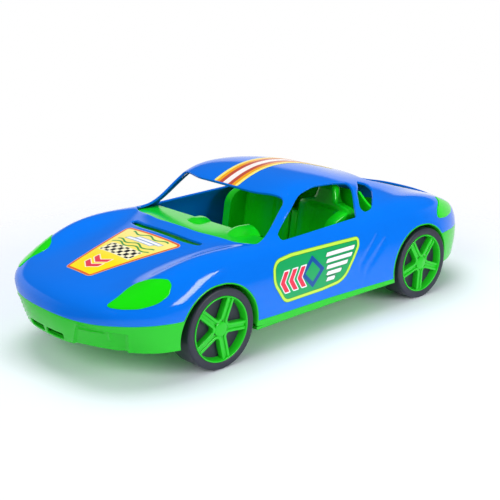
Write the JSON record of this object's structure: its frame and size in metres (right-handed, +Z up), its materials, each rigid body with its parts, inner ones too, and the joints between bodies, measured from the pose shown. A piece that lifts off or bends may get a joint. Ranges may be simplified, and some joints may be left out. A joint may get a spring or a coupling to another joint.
{
  "type": "toy sports car",
  "caption": "Hollow moulded toy coupé with open windows, bucket seats and wheels that turn on steel axle rods.",
  "frame": {"origin": "on the ground under the middle of the car's overall length and width", "axes": "+Z up, -Y towards the nose, +X towards the car's left side"},
  "size_m": [0.173, 0.4046, 0.1197],
  "materials": {
    "blue_shell": "glossy bright blue moulded plastic",
    "green_base": "glossy green moulded plastic",
    "green_lens": "glossy green moulded plastic",
    "green_interior": "satin green moulded plastic",
    "yellow_label": "printed film",
    "lime_label": "printed film",
    "stripe_label": "printed film",
    "black_wheel": "satin black moulded plastic",
    "green_rim": "glossy green moulded plastic",
    "steel_rod": "bright drawn rod"
  },
  "bodies": {
    "base": {"body_shell": "blue_shell", "chassis": "green_base", "headlamp_left": "green_lens", "headlamp_right": "green_lens", "taillamp_left": "green_lens", "taillamp_right": "green_lens", "bonnet_label": "yellow_label", "door_label_left": "lime_label", "door_label_right": "lime_label", "roof_stripes": "stripe_label", "dashboard": "green_interior", "seat_left": "green_interior", "seat_right": "green_interior", "rear_bulkhead": "green_interior", "front_axle": "steel_rod", "rear_axle": "steel_rod"},
    "wheel_front_left": {"tyre_front_left": "black_wheel", "rim_front_left": "green_rim"},
    "wheel_front_right": {"tyre_front_right": "black_wheel", "rim_front_right": "green_rim"},
    "wheel_rear_left": {"tyre_rear_left": "black_wheel", "rim_rear_left": "green_rim"},
    "wheel_rear_right": {"tyre_rear_right": "black_wheel", "rim_rear_right": "green_rim"}
  },
  "joints": [
    {"name": "wheel_front_left_spin", "type": "hinge", "parent": "base", "child": "wheel_front_left", "pos_m": [0.0737, -0.11, 0.0304], "axis": [1, 0, 0], "continuous": true},
    {"name": "wheel_front_right_spin", "type": "hinge", "parent": "base", "child": "wheel_front_right", "pos_m": [-0.0737, -0.11, 0.0304], "axis": [1, 0, 0], "continuous": true},
    {"name": "wheel_rear_left_spin", "type": "hinge", "parent": "base", "child": "wheel_rear_left", "pos_m": [0.0737, 0.112, 0.0304], "axis": [1, 0, 0], "continuous": true},
    {"name": "wheel_rear_right_spin", "type": "hinge", "parent": "base", "child": "wheel_rear_right", "pos_m": [-0.0737, 0.112, 0.0304], "axis": [1, 0, 0], "continuous": true}
  ]
}
